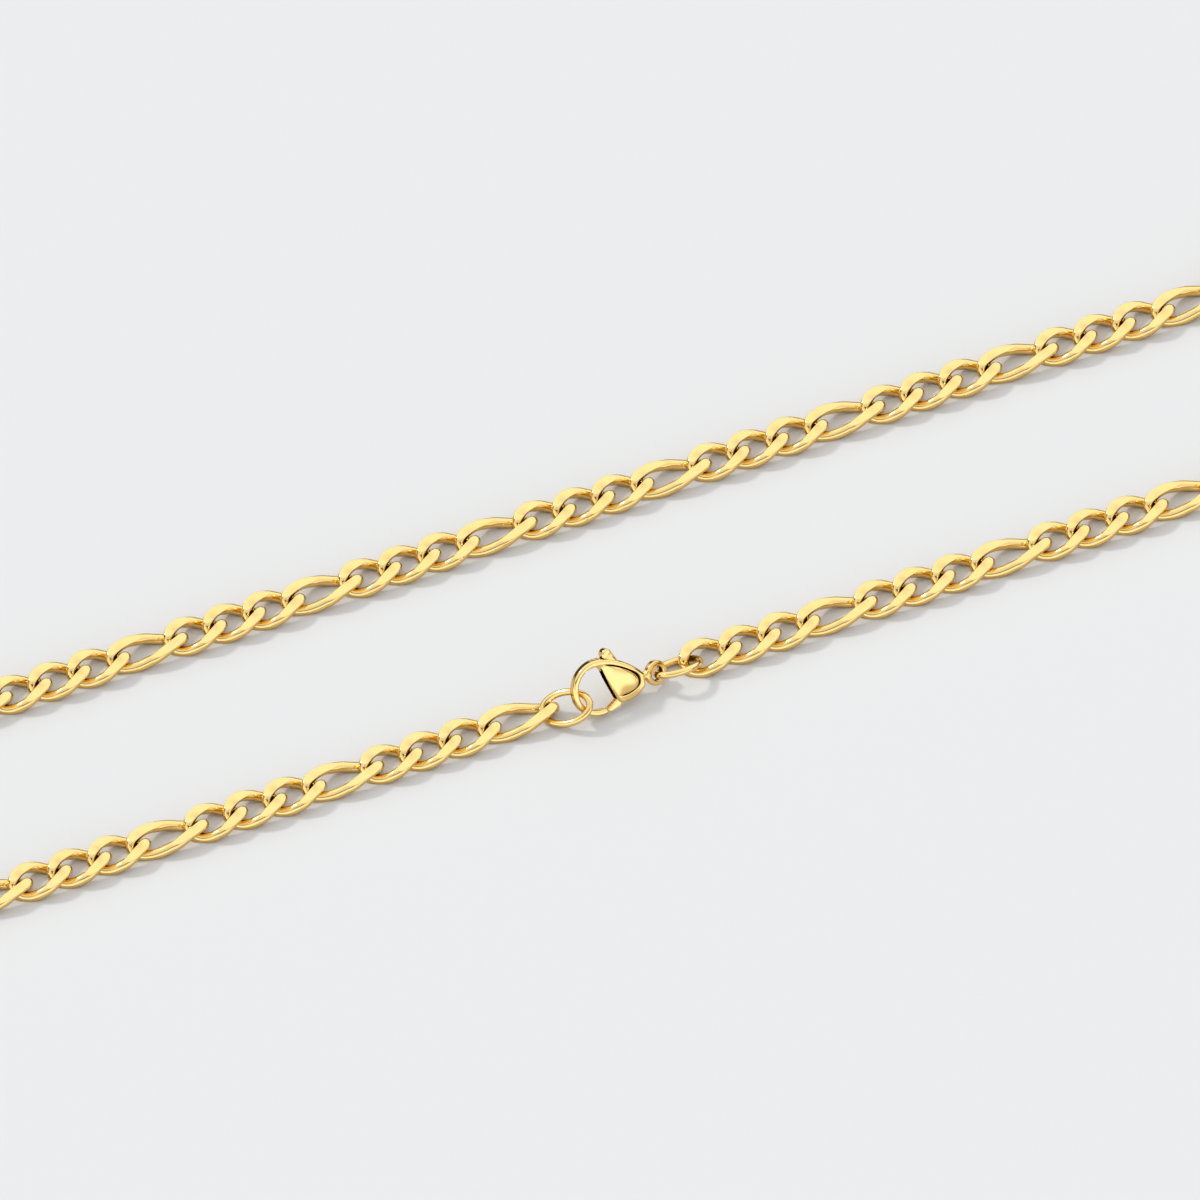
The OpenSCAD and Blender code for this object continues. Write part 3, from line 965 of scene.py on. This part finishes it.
def clasp_piece(name, node, body, field, painted_shade, low, high):
    """A piece of the clasp from its field inside a box, set in its place on the chain."""
    points, quads = skin(field, low, high, GRID)
    # The last function gives each point's painted shade
    mesh = new_mesh(name, points @ CLASP_TURN.T + CLASP_AT, quads, painted_shade(*points.T))
    mesh.materials.append(clasp_gold)
    piece = new_piece(name, mesh)
    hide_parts(node)
    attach(piece, body)
    print(name, "faces:", len(quads), "box, mm:", points.min(0).round(2), points.max(0).round(2))


for name, node, body, field, painted_shade, low, high in (
    (
        "body_and_hook", "clasp_body", "necklace", body_field, body_painted_shade,
        [-3.3, -3.3, -1.45], [8.95, 3.4, 1.45],
    ),
    (
        "lever_and_tab", "clasp_lever", "lever", lever_field, lever_painted_shade,
        [0.3, -3.3, -0.7], [4.4, 4.4, 0.7],
    ),
    (
        "hidden_pin", "clasp_pin", "necklace", pin_field, lever_painted_shade,
        [2.8, -1.4, -0.9], [3.6, -0.6, 0.9],
    ),
):
    clasp_piece(name, node, body, field, painted_shade, low, high)

# %% [markdown]
# ## The two rings
# Two small oval rings of round wire join the clasp to the chain. A ring is a tube swept round
# an oval, so it is a grid of points closed both ways: the same faces as a link's.

# %% Rings
RING_WIRE = 0.8
RING_STATIONS, RING_SIDES = 120, 28


def add_ring(name, node, length, width, place, turn, spin):
    """An oval ring by its outer sizes, its place and its turns in degrees."""
    a, b = (length - RING_WIRE) / 2, (width - RING_WIRE) / 2
    u = np.arange(RING_STATIONS)[:, None] * 2 * np.pi / RING_STATIONS
    v = np.arange(RING_SIDES)[None, :] * 2 * np.pi / RING_SIDES
    out = unit_rows(np.stack([b * np.cos(u), a * np.sin(u)], -1))
    ring = np.stack([
        a * np.cos(u) + RING_WIRE / 2 * np.cos(v) * out[..., 0],
        b * np.sin(u) + RING_WIRE / 2 * np.cos(v) * out[..., 1],
        RING_WIRE / 2 * np.sin(v) + 0 * u,
    ], -1)
    turned = Euler(np.radians(turn)).to_matrix() @ Matrix.Rotation(np.radians(spin), 3, "Z")
    faces = tube_faces(RING_STATIONS, RING_SIDES)
    mesh = new_mesh(name, ring @ np.array(turned).T + place, faces, np.zeros(ring.shape[:2]))
    mesh.materials.append(clasp_gold)
    piece = new_piece(name, mesh)
    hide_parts(node)
    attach(piece, "necklace")
    print(name, "faces:", len(mesh.polygons))


add_ring("ring_on_hook", "hook_ring", 6.49, 4.41, (-8.970, -14.48, 1.80), (16.1, -32.9, 0), -30.9)
add_ring("ring_in_eye", "eye_ring", 6.2, 4.98, (4.945, -13.78, 1.57), (-32, 1.75, 0), 13.3)

# %% [markdown]
# ## Table and light
# The photograph has a plain pale ground and a soft light from the upper left. Polished metal
# shows its surroundings, so the studio is laid out for the metal. The sky glows all round, most
# of all behind. It is dark low down behind the chain and low at both sides, dim in front at
# about the camera's height, where a studio has a camera and no lamp, and brighter lower down in
# front. The dark parts draw the thin lines that make polished wire look round. Area lights and
# cards could do the same, but a sky of soft ramps needs no pieces and is quick to change.
#
# The floor is plain to the camera. Its colour in the metal's reflections is a painted
# reflection: bright in front and dark far behind, as a small table in a dark room would look,
# so that the undersides get some contrast too.

# %% Floor
# Half the floor's side, in metres
FLOOR_HALF = 1.5
FLOOR_COLOUR = (0.65, 0.645, 0.615, 1)
FLOOR_ROUGHNESS, FLOOR_GLOSS = 0.9, 0.1
# Places along Y in millimetres, with the painted reflection colour that the metal mirrors there
FLOOR_PAINTED_REFLECTION = (
    (-90, (0.97, 0.96, 0.93, 1)),
    (-30, (0.54, 0.50, 0.43, 1)),
    (26, (0.54, 0.50, 0.43, 1)),
    (42, (0.02, 0.02, 0.02, 1)),
)


def add_floor():
    s = FLOOR_HALF
    mesh = bpy.data.meshes.new("floor")
    mesh.from_pydata([(-s, -s, 0), (s, -s, 0), (s, s, 0), (-s, s, 0)], [], [(0, 1, 2, 3)])
    floor = new_piece("floor", mesh)
    material = bpy.data.materials.new("pale_floor")
    material.use_nodes = True
    shader = material.node_tree.nodes["Principled BSDF"]
    shader.inputs["Roughness"].default_value = FLOOR_ROUGHNESS
    shader.inputs["Specular IOR Level"].default_value = FLOOR_GLOSS
    nodes, links = material.node_tree.nodes, material.node_tree.links
    # Painted reflection: glossy rays see the floor in the ramp's colours, the camera sees it plain
    path = nodes.new("ShaderNodeLightPath")
    tint = nodes.new("ShaderNodeMix")
    tint.data_type = "RGBA"
    tint.inputs["A"].default_value = FLOOR_COLOUR
    place = nodes.new("ShaderNodeTexCoord")
    split = nodes.new("ShaderNodeSeparateXYZ")
    fade = nodes.new("ShaderNodeMapRange")
    painted_reflection_ramp = nodes.new("ShaderNodeValToRGB")
    (first, first_colour), *inner, (last, last_colour) = FLOOR_PAINTED_REFLECTION
    fade.inputs["From Min"].default_value = first * MM
    fade.inputs["From Max"].default_value = last * MM
    stops = painted_reflection_ramp.color_ramp.elements
    for y, colour in inner:
        stops.new((y - first) / (last - first)).color = colour
    stops[0].color = first_colour
    stops[-1].color = last_colour
    links.new(place.outputs["Object"], split.inputs[0])
    links.new(split.outputs["Y"], fade.inputs["Value"])
    links.new(fade.outputs["Result"], painted_reflection_ramp.inputs["Fac"])
    links.new(painted_reflection_ramp.outputs["Color"], tint.inputs["B"])
    links.new(path.outputs["Is Glossy Ray"], tint.inputs["Factor"])
    links.new(tint.outputs["Result"], shader.inputs["Base Color"])
    mesh.materials.append(material)
    floor.location.z = cad_box[0][2]


add_floor()

# %% Sky and key light
KEY_FROM = Vector((-0.424, 0.568, 0.705))
KEY_STRENGTH = 1.2
KEY_WIDTH = np.radians(7)
SKY_COLOUR = (0.98, 1.0, 1.07, 1)
GAP_HEIGHT = 0.68
# Each ramp is smooth: where it starts and ends, then its values there. A direction's height,
# side and front go from -1 to 1.
GLOW_BY_FRONT = (-0.5, 0.3, 1.3, 0.95)
SIDE_DARK, SIDE_BELOW = (0.94, 0.985, 0, 1), (0.34, 0.5, 0.97, 0)
GAP_BY_HEIGHT, GAP_BY_FRONT = (0.04, 0.11, 0.88, 0), (0.4, 0.7, 0, 1)
BACK_BY_HEIGHT, BACK_BY_FRONT = (0.12, 0.36, 0.05, 1), (-0.4, 0.2, 0, 1)
CARD_BY_FRONT, CARD_BELOW = (0.2, 0.6, 0, 0.5), (0.25, 0.45, 1, 0)


def add_sky():
    world = bpy.data.worlds.new("studio")
    world.use_nodes = True
    nodes, links = world.node_tree.nodes, world.node_tree.links

    def math(operation, a, b):
        node = nodes.new("ShaderNodeMath")
        node.operation = operation
        feed(links, a, node.inputs[0])
        feed(links, b, node.inputs[1])
        return node.outputs[0]

    def towards(direction):
        node = nodes.new("ShaderNodeVectorMath")
        node.operation = "DOT_PRODUCT"
        node.inputs[1].default_value = direction
        links.new(place.outputs["Generated"], node.inputs[0])
        return node.outputs["Value"]

    def ramp(value, start, end, low, high):
        node = nodes.new("ShaderNodeMapRange")
        node.interpolation_type = "SMOOTHSTEP"
        node.inputs["From Min"].default_value = start
        node.inputs["From Max"].default_value = end
        node.inputs["To Min"].default_value = low
        node.inputs["To Max"].default_value = high
        links.new(value, node.inputs["Value"])
        return node.outputs["Result"]

    place = nodes.new("ShaderNodeTexCoord")
    height = towards((0, 0, 1))
    front = towards(Vector((toward.x, toward.y, 0)).normalized())
    aside = math("ABSOLUTE", towards(right), 0)
    off_gap = math("ABSOLUTE", math("SUBTRACT", height, GAP_HEIGHT), 0)
    side = math("MULTIPLY", ramp(aside, *SIDE_DARK), ramp(height, *SIDE_BELOW))
    gap = math("MULTIPLY", ramp(off_gap, *GAP_BY_HEIGHT), ramp(front, *GAP_BY_FRONT))
    back = math("ADD", ramp(height, *BACK_BY_HEIGHT), ramp(front, *BACK_BY_FRONT))
    card = math("MULTIPLY", ramp(front, *CARD_BY_FRONT), ramp(height, *CARD_BELOW))
    strength = math("ADD", ramp(front, *GLOW_BY_FRONT), card)
    strength = math("MULTIPLY", strength, math("SUBTRACT", 1, side))
    strength = math("MULTIPLY", strength, math("SUBTRACT", 1, gap))
    strength = math("MULTIPLY", strength, math("MINIMUM", back, 1))
    nodes["Background"].inputs["Color"].default_value = SKY_COLOUR
    links.new(strength, nodes["Background"].inputs["Strength"])
    bpy.context.scene.world = world


def add_key():
    data = bpy.data.lights.new("key", "SUN")
    data.energy = KEY_STRENGTH
    data.angle = KEY_WIDTH
    key = bpy.data.objects.new("key", data)
    key.rotation_euler = KEY_FROM.to_track_quat("Z", "Y").to_euler()
    bpy.context.scene.collection.objects.link(key)


add_sky()
add_key()
bpy.context.scene.view_settings.view_transform = "Standard"
